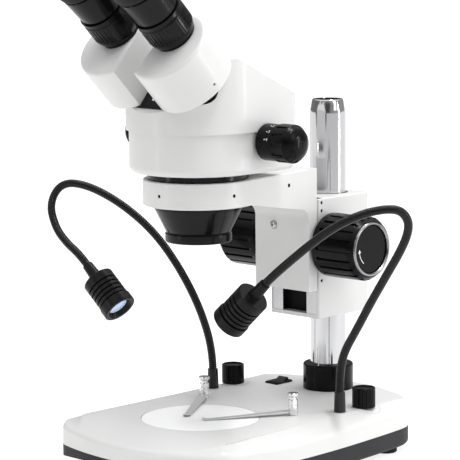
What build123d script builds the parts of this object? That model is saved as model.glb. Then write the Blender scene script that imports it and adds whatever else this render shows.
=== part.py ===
from build123d import *
import math
import os

# Stereo zoom microscope on a column stand, with two gooseneck lamps.
# Millimetres, +Z up. The origin is on the bench under the centre of the stage plate.
# -Y is the user's side, +Y the column's side, +X the user's right.

# ---- driving dimensions ------------------------------------------------------------------
SEAM_Z = 21.5           # cover meets tray
BASE_TOP = 44.0         # flat top of the base
TRAY_BOTTOM = 5.5
WALL = 3.0
SHELL_GAP = 0.2         # between cover and tray along the seam

PLATE_R = 49.8
PLATE_T = 5.0
PLATE_GAP = 0.5

COLUMN_Y = 164.0
COLUMN_R = 16.0
COLUMN_TOP = 302.0
COLUMN_FOOT = 9.0
COLUMN_BORE_R = 11.5
COLLAR_R = 22.3
COLLAR_H = 23.0

CLIP_POST = (52.2, 59.0)
CLIP_TIP = (9.6, -7.4)
DIMMER = (77.0, 122.0)
DIMMER_R = 10.0
DIMMER_H = 17.0
ARM_FOOT = (74.6, 93.3)
SWITCH = (-47.2, 150.5)
SOCKET_R = 4.2          # low-voltage socket in the back wall
SOCKET_Z = 31.8

BLOCK_HALF_X = 28.0
BLOCK_Y = (119.3, 186.6)
BLOCK_Z = (115.0, 219.8)
CHANNEL_HALF_X = 25.9
CHANNEL_BACK_Y = 127.5
CHANNEL_FLOOR_Z = 118.4
BUSH_R = 18.0
BUSH_FIT = 0.06
FOCUS_AXIS = (130.6, 179.9)     # Y and Z of the focus shaft
MODULE = 0.8
PINION_TEETH = 14
PINION_R = MODULE * PINION_TEETH / 2
KNOB_R = 27.6
KNOB_START_X = 33.0
KNOB_END_X = 79.5

RING_R = 46.0
RING_BORE_R = 38.05
RING_Z = (226.0, 247.5)
PLATE_FRONT_Y = 103.6           # vertical plate of the bracket
PLATE_BACK_Y = 113.9
PLATE_HALF_X = 31.2
PLATE_BOTTOM_Z = 141.0

HEAD_Z = (253.6, 288.9)         # lower housing
HEAD_R = 57.0
UPPER_R = 59.5
HEAD_BACK_Y = 62.0
NECK_R = 37.95
FLANGE_R = 42.5
ZOOM_AXIS = (20.0, 280.0)       # Y and Z of the zoom shaft
ZOOM_SHAFT_END = 85.0
ZOOM_KNOB_START_X = 60.0
ZOOM_KNOB_END_X = 97.5
OPTIC_X = 13.0                  # the two optical channels
THREAD_R = 24.0                 # thread for an auxiliary lens
LENS_SEAT_Z = 208.0

DRUM_X = 29.5
DRUM_FACE = (-64.0, 362.1)      # Y and Z of the centre of the drum's front face
DRUM_R = 34.85
DRUM_L = 43.1
DRUM_FLAT = 16.0
DRUM_FLAT_TILT = 4.0
EYE_OFFSET = (2.0, 10.5)        # eyepiece axis in the drum's face, outwards and upwards
EYETUBE_R = 17.5
RING_KNURL_R = 20.4

LAMP_R = 14.2
LAMP_RIM_R = 15.0
LAMP_L = 36.0
NECK_L = 16.5
GOOSENECK_R = 3.6

LAMP_FRONT = {"left": (-95.4, 0.0, 125.4), "right": (42.6, -10.0, 131.1)}
LAMP_AXIS = {"left": (0.750, 0.0215, -0.661), "right": (-0.712, -0.096, -0.695)}
ARM_ROUTE = {
    "left": [(-74.6, 93.3, 58.5), (-74.6, 93.3, 78.0), (-74.6, 79.0, 116.0), (-84.0, 64.0, 153.0),
             (-104.0, 52.0, 186.0), (-134.0, 40.5, 210.5), (-166.0, 29.5, 225.5),
             (-191.0, 21.5, 226.5), (-201.0, 15.5, 207.0), (-186.0, 9.0, 187.0),
             (-165.0, 3.0, 176.0)],
    "right": [(74.6, 93.3, 58.5), (74.6, 93.3, 77.0), (85.5, 86.0, 98.0), (107.0, 77.5, 121.5),
              (130.5, 68.0, 148.5), (154.0, 61.5, 176.5), (170.5, 56.0, 195.0), (182.0, 52.0, 211.0),
              (188.5, 45.5, 223.5), (188.0, 36.0, 233.0), (181.0, 26.0, 234.5), (166.0, 15.0, 230.5),
              (142.0, 1.5, 217.0)],
}

os.makedirs("parts", exist_ok=True)


# ---- small helpers -----------------------------------------------------------------------
def save(name, shape):
    """Write one sub-part."""
    export_step(shape, f"parts/{name}.step")


def group(solids):
    """Several separate solids that are one node."""
    return Compound(children=list(solids))


def rod(radius, low, high, x=0.0, y=0.0):
    """Vertical cylinder from z = low to z = high."""
    return Pos(x, y, low) * Cylinder(radius, high - low, align=(Align.CENTER, Align.CENTER, Align.MIN))


def rod_x(radius, low, high, y, z):
    """Cylinder along X from x = low to x = high."""
    bar = Cylinder(radius, high - low, align=(Align.CENTER, Align.CENTER, Align.MIN))
    return Pos(low, y, z) * Rot(0, 90, 0) * bar


def rod_y(radius, low, high, x, z):
    """Cylinder along Y from y = low to y = high."""
    bar = Cylinder(radius, high - low, align=(Align.CENTER, Align.CENTER, Align.MIN))
    return Pos(x, low, z) * Rot(-90, 0, 0) * bar


def block(x, y, z):
    """Box between pairs of limits."""
    size = [pair[1] - pair[0] for pair in (x, y, z)]
    centre = [(pair[0] + pair[1]) / 2 for pair in (x, y, z)]
    return Pos(*centre) * Box(*size)


def lathe(profile):
    """Solid of revolution about Z from (radius, z) points."""
    return revolve(make_face(Plane.XZ * Polyline(*profile, close=True)), Axis.Z)


def mirrored(shape):
    """The same piece on the other side."""
    return mirror(shape, about=Plane.YZ)


def along(start, direction, x_dir=None):
    """Location whose local Z runs along direction."""
    return Plane(origin=start, x_dir=x_dir, z_dir=direction).location


# ---- base --------------------------------------------------------------------------------
FRONT_Y = -92.5
BACK_Y = 200.5
# right half of the plan outline, front to back
OUTLINE = [
    (0.0, FRONT_Y), (28.0, -91.2), (55.0, -87.3), (76.0, -82.2), (87.5, -77.0), (93.7, -68.0),
    (97.3, -50.0), (100.8, -20.0), (102.6, 15.0), (101.8, 60.0), (98.6, 105.0), (94.4, 146.0),
    (90.3, 164.0), (80.5, 177.5), (62.0, 188.0), (33.0, 197.3), (0.0, BACK_Y),
]
TOP_HALF_X = 81.5       # the flat top ends here and the sides slope off
SIDE_SLOPE = 21.0
SIDE_YAW = 1.3
FRONT_TOP_Y = -55.0     # the flat top ends here and the front slopes off
FRONT_SLOPE = 13.0
SHOULDER_R = 5.0
BOW_Y = -58.0           # the tray's underside rises towards the front from here
BOW_SLOPE = 17.0


def outline_face(inset=0.0):
    """Barrel-shaped plan of the base, or the same plan moved inwards."""
    ends = [(1, 0), (-1, 0)]
    right = Spline(*OUTLINE, tangents=ends)
    if inset:
        stations = 28
        points = []
        for index in range(stations + 1):
            here = index / stations
            tangent = right.tangent_at(here)
            points.append(right.position_at(here) + Vector(-tangent.Y, tangent.X) * inset)
        right = Spline(*points, tangents=ends)
    return make_face([right, mirror(right, about=Plane.YZ)])


def base_body(low, high, inset=0.0, round_r=0.0):
    """Outer form of the cover: a prism with sloping sides and front, softened along its shoulder."""
    body = extrude(Pos(0, 0, low) * outline_face(inset), high - low)
    side = Box(200, 600, 100, align=(Align.MIN, Align.CENTER, Align.MIN))
    side = Location((TOP_HALF_X - inset, 55, high), (0, SIDE_SLOPE, SIDE_YAW)) * side
    front = Box(400, 200, 100, align=(Align.CENTER, Align.MAX, Align.MIN))
    front = Location((0, FRONT_TOP_Y + inset, high), (FRONT_SLOPE, 0, 0)) * front
    body = body - side - mirrored(side) - front
    if round_r:
        body = fillet(shoulder_edges(body, low), round_r)
    return body


def shoulder_edges(body, low):
    """Edges between the upright wall and the faces above it."""
    walls = [face for face in body.faces() if abs(face.normal_at().Z) < 0.01]
    picked = []
    for edge in body.edges():
        touching = [wall for wall in walls if any(edge.is_same(other) for other in wall.edges())]
        if len(touching) == 1 and edge.center().Z > low + 1:
            picked.append(edge)
    return picked


def make_base_cover():
    """White cover: hollow shell with the stage recess and the holes for everything on top."""
    cover = base_body(SEAM_Z + SHELL_GAP, BASE_TOP, 0.0, SHOULDER_R)
    cover -= base_body(SEAM_Z, BASE_TOP - WALL, WALL)
    recess_floor = BASE_TOP - PLATE_T - 0.3
    cover += rod(PLATE_R + PLATE_GAP + WALL, recess_floor - WALL, BASE_TOP - 1)
    for x, y, radius, depth in cover_bosses():
        cover += rod(radius, BASE_TOP - depth, BASE_TOP - 1, x, y)
    cover -= rod(PLATE_R + PLATE_GAP, recess_floor, BASE_TOP + 1)
    cover -= rod(COLUMN_R + 0.1, 0, BASE_TOP + 1, 0, COLUMN_Y)
    for side in (-1, 1):
        cover -= rod(3.1, BASE_TOP - 11, BASE_TOP + 1, side * CLIP_POST[0], CLIP_POST[1])
        cover -= rod(3.6, BASE_TOP - 20, BASE_TOP + 1, side * DIMMER[0], DIMMER[1])
        cover -= rod(4.1, BASE_TOP - 20, BASE_TOP + 1, side * ARM_FOOT[0], ARM_FOOT[1])
    sx, sy = SWITCH
    cover -= block((sx - 6.6, sx + 6.6), (sy - 9.6, sy + 9.6), (BASE_TOP - 12, BASE_TOP + 1))
    cover -= block((-7.1, 7.1), (BACK_Y - 6, BACK_Y + 3), (25.4, 38.1))
    return cover


def cover_bosses():
    """Thickened spots under the cover: (x, y, radius, depth)."""
    spots = []
    for side in (-1, 1):
        spots.append((side * CLIP_POST[0], CLIP_POST[1], 7.0, 12.0))
        spots.append((side * ARM_FOOT[0], ARM_FOOT[1], 8.0, 12.0))
    return spots


FOOT_SPOTS = [(-80.0, -42.0), (80.0, -42.0), (-78.0, 150.0), (78.0, 150.0)]
FOOT_R = 10.0


def make_base_tray():
    """Dark tray that closes the base from below and carries the column."""
    tray = extrude(Pos(0, 0, TRAY_BOTTOM) * outline_face(), SEAM_Z - TRAY_BOTTOM)
    tray = fillet(tray.faces().sort_by(Axis.Z)[0].edges(), 3.5)
    inner = extrude(Pos(0, 0, TRAY_BOTTOM + WALL) * outline_face(WALL), 40)
    bow = Box(400, 100, 60, align=(Align.CENTER, Align.MAX, Align.MAX))
    inner -= Location((0, BOW_Y, TRAY_BOTTOM + WALL), (-BOW_SLOPE, 0, 0)) * bow
    tray -= Location((0, BOW_Y, TRAY_BOTTOM), (-BOW_SLOPE, 0, 0)) * bow
    tray -= inner
    tray += rod(COLUMN_R + 7, TRAY_BOTTOM + 1, SEAM_Z, 0, COLUMN_Y)
    tray -= rod(COLUMN_R, COLUMN_FOOT, 60, 0, COLUMN_Y)
    tray -= rod(4.1, 0, 20, 0, COLUMN_Y)
    tray -= rod(7.6, 0, TRAY_BOTTOM + 0.5, 0, COLUMN_Y)
    for x, y in FOOT_SPOTS:
        tray += rod(6, TRAY_BOTTOM + 1, SEAM_Z - 1, x, y)
        tray -= rod(1.6, 0, 60, x, y)
        tray -= rod(4.0, 0, TRAY_BOTTOM + 2.0, x, y)
    return tray


def make_feet():
    """Four rubber feet, each with a plug that presses into the tray and a hole for the screw."""
    feet = []
    for x, y in FOOT_SPOTS:
        foot = rod(FOOT_R, 0, TRAY_BOTTOM)
        foot = chamfer(foot.faces().sort_by(Axis.Z)[0].edges(), 0.8)
        foot += rod(3.9, TRAY_BOTTOM, TRAY_BOTTOM + 1.9)
        foot -= rod(3.2, -1, 3.5)
        foot -= rod(1.7, -1, 20)
        feet.append(Pos(x, y, 0) * foot)
    return group(feet)


def make_base_screws():
    """Screws through the feet, and the bolt that holds the column down."""
    screws = []
    for x, y in FOOT_SPOTS:
        screw = rod(1.5, 2.0, SEAM_Z - 3) + rod(3.0, 2.0, 3.5)
        screw -= rod(0.9, 0, 2.9)
        screws.append(Pos(x, y, 0) * screw)
    bolt = rod(4.0, 2.5, COLUMN_FOOT + 14) + rod(6.5, 2.5, TRAY_BOTTOM + 0.5)
    socket = Pos(0, 0, 2.0) * extrude(RegularPolygon(3.4, 6), 3.0)
    screws.append(Pos(0, COLUMN_Y, 0) * (bolt - socket))
    return group(screws)


def make_column():
    """Chromed column: a tube open at its tapered top, solid at the foot around the bolt."""
    taper = 12.4
    profile = [
        (4.05, COLUMN_FOOT), (COLUMN_R - 0.02, COLUMN_FOOT), (COLUMN_R - 0.02, COLUMN_TOP - taper),
        (COLUMN_R - 2.2, COLUMN_TOP - 1.0), (COLUMN_R - 3.0, COLUMN_TOP), (COLUMN_BORE_R, COLUMN_TOP),
        (COLUMN_BORE_R, COLUMN_FOOT + 22), (4.05, COLUMN_FOOT + 22),
    ]
    return Pos(0, COLUMN_Y, 0) * lathe(profile)


def make_column_collar():
    """Black collar around the column's foot."""
    collar = rod(COLLAR_R, BASE_TOP, BASE_TOP + COLLAR_H)
    collar = fillet(collar.faces().sort_by(Axis.Z)[-1].edges(), 2.0)
    collar -= rod(COLUMN_R + 0.02, 0, 100)
    return Pos(0, COLUMN_Y, 0) * collar


def make_control_board():
    """Lamp driver: circuit board on the column's side of the tray, with two potentiometers."""
    board_z = 23.0
    board = block((-60, 60), (108, 140), (board_z, board_z + 1.6))
    board += block((-92, -60), (114, 130), (board_z, board_z + 1.6))
    board += block((60, 92), (114, 130), (board_z, board_z + 1.6))
    for x in (-30, -10, 12, 34):
        board += rod(4, board_z + 1, board_z + 10, x, 124)
    for side in (-1, 1):
        pot = rod(8.0, board_z + 1, BASE_TOP - WALL - 3.6) + rod(3.4, BASE_TOP - 8, BASE_TOP - 0.2)
        pot += rod(3.0, BASE_TOP - 1, BASE_TOP + 9)
        board += Pos(side * DIMMER[0], DIMMER[1], 0) * pot
    return board


def make_power_switch():
    """Switch housing: bezel on the cover and a box below it, open at the top for the rocker."""
    x, y = SWITCH
    bezel = block((x - 7.5, x + 7.5), (y - 10.5, y + 10.5), (BASE_TOP, BASE_TOP + 1.8))
    bezel = fillet(bezel.edges().filter_by(Axis.Z), 1.0)
    bezel = chamfer(bezel.faces().sort_by(Axis.Z)[-1].edges(), 0.6)
    body = bezel + block((x - 6.4, x + 6.4), (y - 9.4, y + 9.4), (BASE_TOP - 16, BASE_TOP + 1))
    body -= block((x - 5.4, x + 5.4), (y - 8.7, y + 8.7), (BASE_TOP - 8, BASE_TOP + 4))
    for side in (-1, 1):
        body += rod_x(1.2, x + side * 5.6 - 1.0, x + side * 5.6 + 1.0, y, BASE_TOP - 2.2)
    for tab_y in (y - 5, y, y + 5):
        body += block((x - 2.4, x + 2.4), (tab_y - 0.4, tab_y + 0.4), (BASE_TOP - 21, BASE_TOP - 15))
    return body


def make_switch_rocker():
    """Rocker cap, tipped towards the column when it is off."""
    x, y = SWITCH
    outline = [
        (-7.4, 1.0), (-7.5, 2.2), (0, 1.3), (6.2, 4.4), (7.3, 3.8), (7.2, -1.5), (3.5, -5.2),
        (-3.5, -5.2), (-6.8, -2),
    ]
    points = [(0, y + along_y, BASE_TOP + height) for along_y, height in outline]
    cap = extrude(make_face(Polyline(*points, close=True)), 10.2, dir=(1, 0, 0))
    cap = Pos(x - 5.1, 0, 0) * cap
    cap -= rod_x(1.35, x - 6, x + 6, y, BASE_TOP - 2.2)
    return cap


def make_power_inlet():
    """Low-voltage socket in the back wall."""
    shell = block((-7, 7), (BACK_Y - 13, BACK_Y - 0.4), (25.5, 38))
    return shell - rod_y(SOCKET_R, BACK_Y - 10.4, BACK_Y + 1, 0, SOCKET_Z)


def make_stage_plate():
    """Round white stage plate."""
    top = BASE_TOP - 0.05
    plate = rod(PLATE_R, top - PLATE_T, top)
    return chamfer(plate.edges(), 0.4)


# ---- stage clips -------------------------------------------------------------------------
POST_R = 4.15
BLADE_T = 0.7


def make_clip_post():
    """Turned post of the right stage clip; its pin turns in the cover."""
    z = BASE_TOP
    profile = [
        (0, z - 10), (3.0, z - 10), (3.0, z + 0.3), (POST_R, z + 0.3), (POST_R, z + 3.1), (2.6, z + 3.1),
        (2.6, z + 3.1 + BLADE_T), (POST_R, z + 3.1 + BLADE_T), (POST_R, z + 8.2), (POST_R - 0.4, z + 8.5),
        (POST_R - 0.4, z + 9.0), (POST_R, z + 9.3), (POST_R, z + 12.8), (POST_R - 0.6, z + 13.4),
        (3.2, z + 13.8), (3.2, z + 15.4), (4.3, z + 16.2), (4.95, z + 17.0), (4.95, z + 18.2),
        (4.3, z + 19.0), (0, z + 19.0),
    ]
    return Pos(CLIP_POST[0], CLIP_POST[1], 0) * lathe(profile)


def make_clip_blade():
    """Spring blade of the right stage clip, from the post down to the stage plate."""
    reach = math.dist(CLIP_POST, CLIP_TIP)
    high = 3.1
    low = 0.25
    line = [
        (-4.4, high), (7.0, high), (16.0, high - 0.6), (reach - 8, low), (reach - 3.4, low),
        (reach, low + 1.4),
    ]
    upper = [(s, z + BLADE_T) for s, z in reversed(line)]
    side = make_face(Plane.XZ * Polyline(*(line + upper), close=True))
    strip = extrude(side, 20, both=True)
    plan = Polyline((0, -4.4), (reach, -3.0), (reach, 3.0), (0, 4.4), close=True)
    strip &= extrude(make_face(plan) + Circle(4.4), 30)
    strip -= rod(2.65, -1, 30)
    angle = math.degrees(math.atan2(CLIP_TIP[1] - CLIP_POST[1], CLIP_TIP[0] - CLIP_POST[0]))
    return Location((CLIP_POST[0], CLIP_POST[1], BASE_TOP), (0, 0, angle)) * strip


# ---- dimmer knobs ------------------------------------------------------------------------
def make_dimmer_knob():
    """Fluted knob of the right lamp dimmer, dished on top."""
    low = BASE_TOP + 0.5
    high = low + DIMMER_H
    knob = rod(DIMMER_R, low, high)
    knob = fillet(knob.faces().sort_by(Axis.Z)[-1].edges(), 1.2)
    flutes = 18
    for index in range(flutes):
        angle = 2 * math.pi * index / flutes
        reach = DIMMER_R + 0.55
        knob -= rod(1.05, low - 1, high - 1.8, reach * math.cos(angle), reach * math.sin(angle))
    knob -= rod(7.6, high - 0.8, high + 1)
    knob -= rod(3.06, low - 1, BASE_TOP + 10)
    knob -= rod(7.0, low - 1, low + 4.5)
    return Pos(DIMMER[0], DIMMER[1], 0) * knob


# ---- gooseneck lamps ---------------------------------------------------------------------
def unit(vector):
    length = math.sqrt(sum(value * value for value in vector))
    return tuple(value / length for value in vector)


def lamp_point(side, distance):
    """Point on the lamp's axis, measured backwards from its front face."""
    axis = unit(LAMP_AXIS[side])
    return tuple(front - distance * value for front, value in zip(LAMP_FRONT[side], axis))


def arm_points(side):
    """Route of the gooseneck: the chosen points, then straight into the lamp's neck."""
    end = LAMP_L + NECK_L
    return ARM_ROUTE[side] + [lamp_point(side, end + 13), lamp_point(side, end)]


def corner_radii(points):
    """Largest tangent arc at each corner that leaves room for its neighbours."""
    radii = []
    for before, corner, after in zip(points, points[1:], points[2:]):
        run_in = Vector(corner) - Vector(before)
        run_out = Vector(after) - Vector(corner)
        turn = math.radians(run_in.get_angle(run_out))
        radii.append(0.45 * min(run_in.length, run_out.length) / math.tan(turn / 2))
    return radii


def make_gooseneck(side):
    """Flexible metal arm: one tube of straight runs and tangent arcs."""
    points = arm_points(side)
    radii = corner_radii(points)
    path = FilletPolyline(*points, radius=radii)
    start = Plane(origin=points[0], z_dir=Vector(*points[1]) - Vector(*points[0]))
    tube = sweep(start * Circle(GOOSENECK_R), path=path)
    print(side, "arm radii", [round(radius) for radius in radii], "length", round(path.length, 1))
    print(side, "arm volume ratio", round(tube.volume / (math.pi * GOOSENECK_R**2 * path.length), 4))
    return tube


def make_ferrule(side):
    """Tapered socket that holds the gooseneck on the base."""
    z = BASE_TOP
    profile = [
        (0, z - 12), (4.0, z - 12), (4.0, z + 0.3), (5.1, z + 0.3), (4.55, z + 17.2), (4.2, z + 17.6),
        (GOOSENECK_R + 0.05, z + 17.6), (GOOSENECK_R + 0.05, z + 14.4), (0, z + 14.4),
    ]
    sign = 1 if side == "right" else -1
    return Pos(sign * ARM_FOOT[0], ARM_FOOT[1], 0) * lathe(profile)


def make_lamp_housing(side):
    """Finned lamp head with a tapered neck; local Z runs backwards from the front face."""
    fins = 5
    pitch = 4.4
    first = 10.0
    outer = [(LAMP_RIM_R, 0.6), (LAMP_RIM_R, 8.6)]
    for index in range(fins):
        z = first + index * pitch
        outer += [(LAMP_R - 2.0, z - 1.4), (LAMP_R - 2.0, z), (LAMP_R, z), (LAMP_R, z + pitch - 1.4)]
    back = LAMP_L + NECK_L
    outer += [(LAMP_R, LAMP_L - 0.8), (LAMP_R - 0.8, LAMP_L), (5.6, LAMP_L), (5.3, LAMP_L + 3), (4.6, back)]
    inner = [
        (1.5, back), (1.5, 14), (9.0, 14), (9.0, 3.6), (LAMP_RIM_R - 3.2, 0), (LAMP_RIM_R - 0.6, 0),
    ]
    housing = lathe(outer + inner)
    axis = [-value for value in unit(LAMP_AXIS[side])]
    return along(LAMP_FRONT[side], axis) * housing


def make_lamp_lens(side):
    """Glass window of the lamp, set back in the rim."""
    lens = rod(8.95, 4.0, 6.0) + rod(7.0, 5.9, 12.0)
    axis = [-value for value in unit(LAMP_AXIS[side])]
    return along(LAMP_FRONT[side], axis) * lens


# ---- focusing block ----------------------------------------------------------------------
GUIDE_X = 17.0
GUIDE_Y = (119.8, 127.4)
GUIDE_TAPER = 3.2
CLAMP_Z = 150.0
CLAMP_BOSS = 5.0
CLAMP_R = 2.95
GUIDE_SCREW_Z = (216.2, 209.2, 148.2)
SHAFT_R = 3.9
SHAFT_BORE_R = 3.95


def make_column_bush():
    """Split plastic bush between the column and the block."""
    bush = rod(BUSH_R - BUSH_FIT, BLOCK_Z[0] + 2, BLOCK_Z[1] - 2) - rod(COLUMN_R + BUSH_FIT, 0, 400)
    bush -= block((-0.6, 0.6), (0, 40), (0, 400))
    return Pos(0, COLUMN_Y, 0) * bush


def make_focus_block():
    """White block on the column: bore for the bush, front channel for the slide, shaft bores."""
    body = block((-BLOCK_HALF_X, BLOCK_HALF_X), BLOCK_Y, BLOCK_Z)
    body = fillet(body.edges().filter_by(Axis.Z), 2.0)
    body = fillet(body.faces().sort_by(Axis.Z)[-1].edges(), 1.0)
    body -= rod(BUSH_R, 0, 400, 0, COLUMN_Y)
    body -= block((-CHANNEL_HALF_X, CHANNEL_HALF_X), (100, CHANNEL_BACK_Y), (CHANNEL_FLOOR_Z, 400))
    y, z = FOCUS_AXIS
    body -= rod_x(8.0, -12, 12, y, z)
    body -= rod_x(SHAFT_BORE_R, -60, 60, y, z)
    body -= block((-6.5, 6.5), (CHANNEL_BACK_Y - 1, y), (z - 8, z + 8))
    body += rod_y(9.0, BLOCK_Y[1] - 0.5, BLOCK_Y[1] + CLAMP_BOSS, 0, CLAMP_Z)
    body -= rod_y(CLAMP_R + 0.05, COLUMN_Y, BLOCK_Y[1] + CLAMP_BOSS + 1, 0, CLAMP_Z)
    for side in (-1, 1):
        boss = rod_x(9.5, min(side * 26.5, side * 30.5), max(side * 26.5, side * 30.5), y, z)
        body += boss - rod_x(SHAFT_BORE_R, -60, 60, y, z)
        for height in GUIDE_SCREW_Z:
            body -= rod_x(1.5, side * 26.0 - 3, side * 26.0 + 3, 123.9, height)
    return body


def make_guide_rails():
    """Two dovetail guides in the block's channel, and the set screws that press on them."""
    low = CHANNEL_FLOOR_Z + 0.1
    corners = [
        (GUIDE_X - GUIDE_TAPER, GUIDE_Y[0]), (CHANNEL_HALF_X - 0.02, GUIDE_Y[0]),
        (CHANNEL_HALF_X - 0.02, GUIDE_Y[1]), (GUIDE_X, GUIDE_Y[1]),
    ]
    rail = extrude(Pos(0, 0, low) * make_face(Polyline(*corners, close=True)), BLOCK_Z[1] - 1.5 - low)
    rail -= rod_x(8.2, -30, 30, *FOCUS_AXIS)
    pieces = [rail]
    tip = BLOCK_HALF_X - 0.5
    for height in GUIDE_SCREW_Z:
        screw = rod_x(1.45, CHANNEL_HALF_X + 0.15, tip, 123.9, height)
        screw -= rod_x(0.75, tip - 1.0, tip + 1.0, 123.9, height)
        pieces.append(screw)
    return group(pieces + [mirrored(piece) for piece in pieces])


def make_clamp_knob():
    """Hand screw at the back of the block; its tip presses the split bush on the column."""
    x, z = 0.0, CLAMP_Z
    tip = COLUMN_Y + BUSH_R + 0.05
    boss = BLOCK_Y[1] + CLAMP_BOSS
    stem = rod_y(CLAMP_R, tip, boss + 1.0, x, z) + rod_y(6.0, boss + 0.4, boss + 4.0, x, z)
    grip = rod_y(13.0, boss + 3.5, boss + 17.0, x, z)
    grip = fillet(grip.edges().filter_by(GeomType.CIRCLE), 1.5)
    lobes = 6
    for index in range(lobes):
        angle = 2 * math.pi * index / lobes
        reach = 16.2
        grip -= rod_y(5.0, boss, boss + 30, x + reach * math.cos(angle), z + reach * math.sin(angle))
    return stem + grip


# ---- focus drive -------------------------------------------------------------------------
def involute_gear(teeth, module, backlash):
    """Face of a spur gear with involute flanks of 20 degrees pressure angle."""
    pitch_r = module * teeth / 2
    base_r = pitch_r * math.cos(math.radians(20))
    tip_r = pitch_r + module
    root_r = pitch_r - 1.25 * module
    steps = 6
    start_r = max(base_r, root_r)

    def roll(radius):
        ratio = math.sqrt(max(radius * radius - base_r * base_r, 0)) / base_r
        return ratio - math.atan(ratio)

    half = math.pi / (2 * teeth) - backlash / (2 * pitch_r) + roll(pitch_r)
    points = []
    for tooth in range(teeth):
        centre = 2 * math.pi * tooth / teeth
        rising = []
        for step in range(steps + 1):
            radius = start_r + (tip_r - start_r) * step / steps
            rising.append((radius, half - roll(radius)))
        flank = [(root_r, half + 0.02)] + rising
        points += [(r, centre - a) for r, a in flank]
        points += [(r, centre + a) for r, a in reversed(flank)]
    return make_face(Polyline(*[(r * math.cos(a), r * math.sin(a)) for r, a in points], close=True))


def make_pinion_shaft():
    """Focus shaft with its pinion; a tooth gap faces the rack at rest."""
    y, z = FOCUS_AXIS
    gear = extrude(involute_gear(PINION_TEETH, MODULE, 0.12), 8.0)
    # the gear face's local X turns to row -Y, where the rack is
    turn = 180.0 / PINION_TEETH
    placed = Plane(origin=(-4.0, y, z), x_dir=(0, -1, 0), z_dir=(1, 0, 0)).location * Rot(0, 0, turn)
    shaft = rod_x(SHAFT_R, -70, -3.5, y, z) + rod_x(SHAFT_R, 3.5, 70, y, z)
    return placed * gear + shaft


def make_focus_knob():
    """Right focus knob: plain flange, grip slotted out to its rim, and a disc in the end recess."""
    start, end = KNOB_START_X, KNOB_END_X
    profile = [
        (3.93, start), (KNOB_R - 1.2, start), (KNOB_R, start + 1.2), (KNOB_R, end - 6.0),
        (24.4, end - 1.4), (23.4, end - 1.4), (23.0, end - 0.4), (22.4, end), (21.6, end),
        (20.8, end - 1.2), (20.8, end - 5.0), (3.93, end - 5.0),
    ]
    knob = lathe(profile)
    slots = 20
    slot_start = start + 6.0
    for index in range(slots):
        slot = block((KNOB_R - 1.7, KNOB_R + 2), (-1.3, 1.3), (slot_start, end + 2))
        slot = fillet(slot.edges().filter_by(Axis.X).group_by(Axis.Z)[0], 1.2)
        knob -= Rot(0, 0, 360.0 * index / slots) * slot
    knob -= rod(8.0, start - 1, start + 1.5)
    cap = rod(20.7, end - 4.95, end - 2.2)
    cap = fillet(cap.faces().sort_by(Axis.Z)[-1].edges(), 0.8)
    y, z = FOCUS_AXIS
    place = Pos(0, y, z) * Rot(0, 90, 0)
    return group([place * knob, place * cap])


# ---- head bracket ------------------------------------------------------------------------
UNDERSIDE = ((19.0, 226.0), (92.0, 214.0))      # sloping underside: (Y, Z) of its two ends
UNDERSIDE_CORNER_Z = 212.0
LOCK_Z = 236.4
LOCK_DIRECTIONS = [(0, -1, 0), (1, -0.1, 0), (-1, -0.1, 0)]
BRACKET_SCREW = (-9.4, 196.2)                   # X and Z


def make_head_bracket():
    """Ring for the head, tapering arm and vertical plate, in one casting."""
    top = RING_Z[1]
    side = [
        (0, top), (PLATE_BACK_Y, top), (PLATE_BACK_Y, PLATE_BOTTOM_Z), (PLATE_FRONT_Y, PLATE_BOTTOM_Z),
        (PLATE_FRONT_Y, UNDERSIDE_CORNER_Z), UNDERSIDE[1], UNDERSIDE[0], (0, UNDERSIDE[0][1]),
    ]
    side_face = make_face(Polyline(*[(0, y, z) for y, z in side], close=True))
    arm = extrude(side_face, 60, dir=(1, 0, 0), both=True)
    inner = []
    for edge in arm.edges().filter_by(Axis.X):
        centre = edge.center()
        if abs(centre.Y - PLATE_FRONT_Y) < 0.1 and abs(centre.Z - UNDERSIDE_CORNER_Z) < 0.1:
            inner.append(edge)
    arm = fillet(inner, 11.0)
    plan = [
        (-45.9, 3), (-PLATE_HALF_X, PLATE_FRONT_Y), (-PLATE_HALF_X, 130), (PLATE_HALF_X, 130),
        (PLATE_HALF_X, PLATE_FRONT_Y), (45.9, 3), (20, 0), (-20, 0),
    ]
    arm &= extrude(make_face(Polyline(*plan, close=True)), 400)
    bracket = arm + rod(RING_R, *RING_Z)
    bracket -= rod(RING_BORE_R, 0, 400)
    bracket = chamfer(ring_rim_edges(bracket), 0.7)
    for direction in LOCK_DIRECTIONS:
        bracket -= along((0, 0, LOCK_Z), direction) * rod(1.55, 30, 60)
    bracket -= rod_x(1.7, 34, 60, 73.5, 236.8)
    bracket -= rod_y(2.1, 90, PLATE_BACK_Y + 1, BRACKET_SCREW[0], BRACKET_SCREW[1])
    return bracket


def ring_rim_edges(bracket):
    """Outer circular edges at the top and bottom of the ring's front."""
    picked = []
    for edge in bracket.edges().filter_by(GeomType.CIRCLE):
        if abs(edge.radius - RING_R) < 0.01 and abs(edge.arc_center.Y) < 0.01:
            picked.append(edge)
    return picked


def make_bracket_screws():
    """Three set screws that lock the head, and the round-head screw on the plate."""
    screws = []
    for direction in LOCK_DIRECTIONS:
        screw = rod(1.5, RING_BORE_R + 0.1, RING_R - 0.7) - rod(0.8, RING_R - 2.2, RING_R)
        screws.append(along((0, 0, LOCK_Z), direction) * screw)
    x, z = BRACKET_SCREW
    dome = lathe([(0, 0), (3.75, 0), (3.75, 0.8), (3.0, 1.8), (1.9, 2.2), (0, 2.2)]) + rod(2.0, -8, 0.1)
    dome -= Pos(0, 0, 0.8) * extrude(RegularPolygon(1.5, 6), 3)
    screws.append(along((x, PLATE_FRONT_Y, z), (0, -1, 0)) * dome)
    return group(screws)


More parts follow.
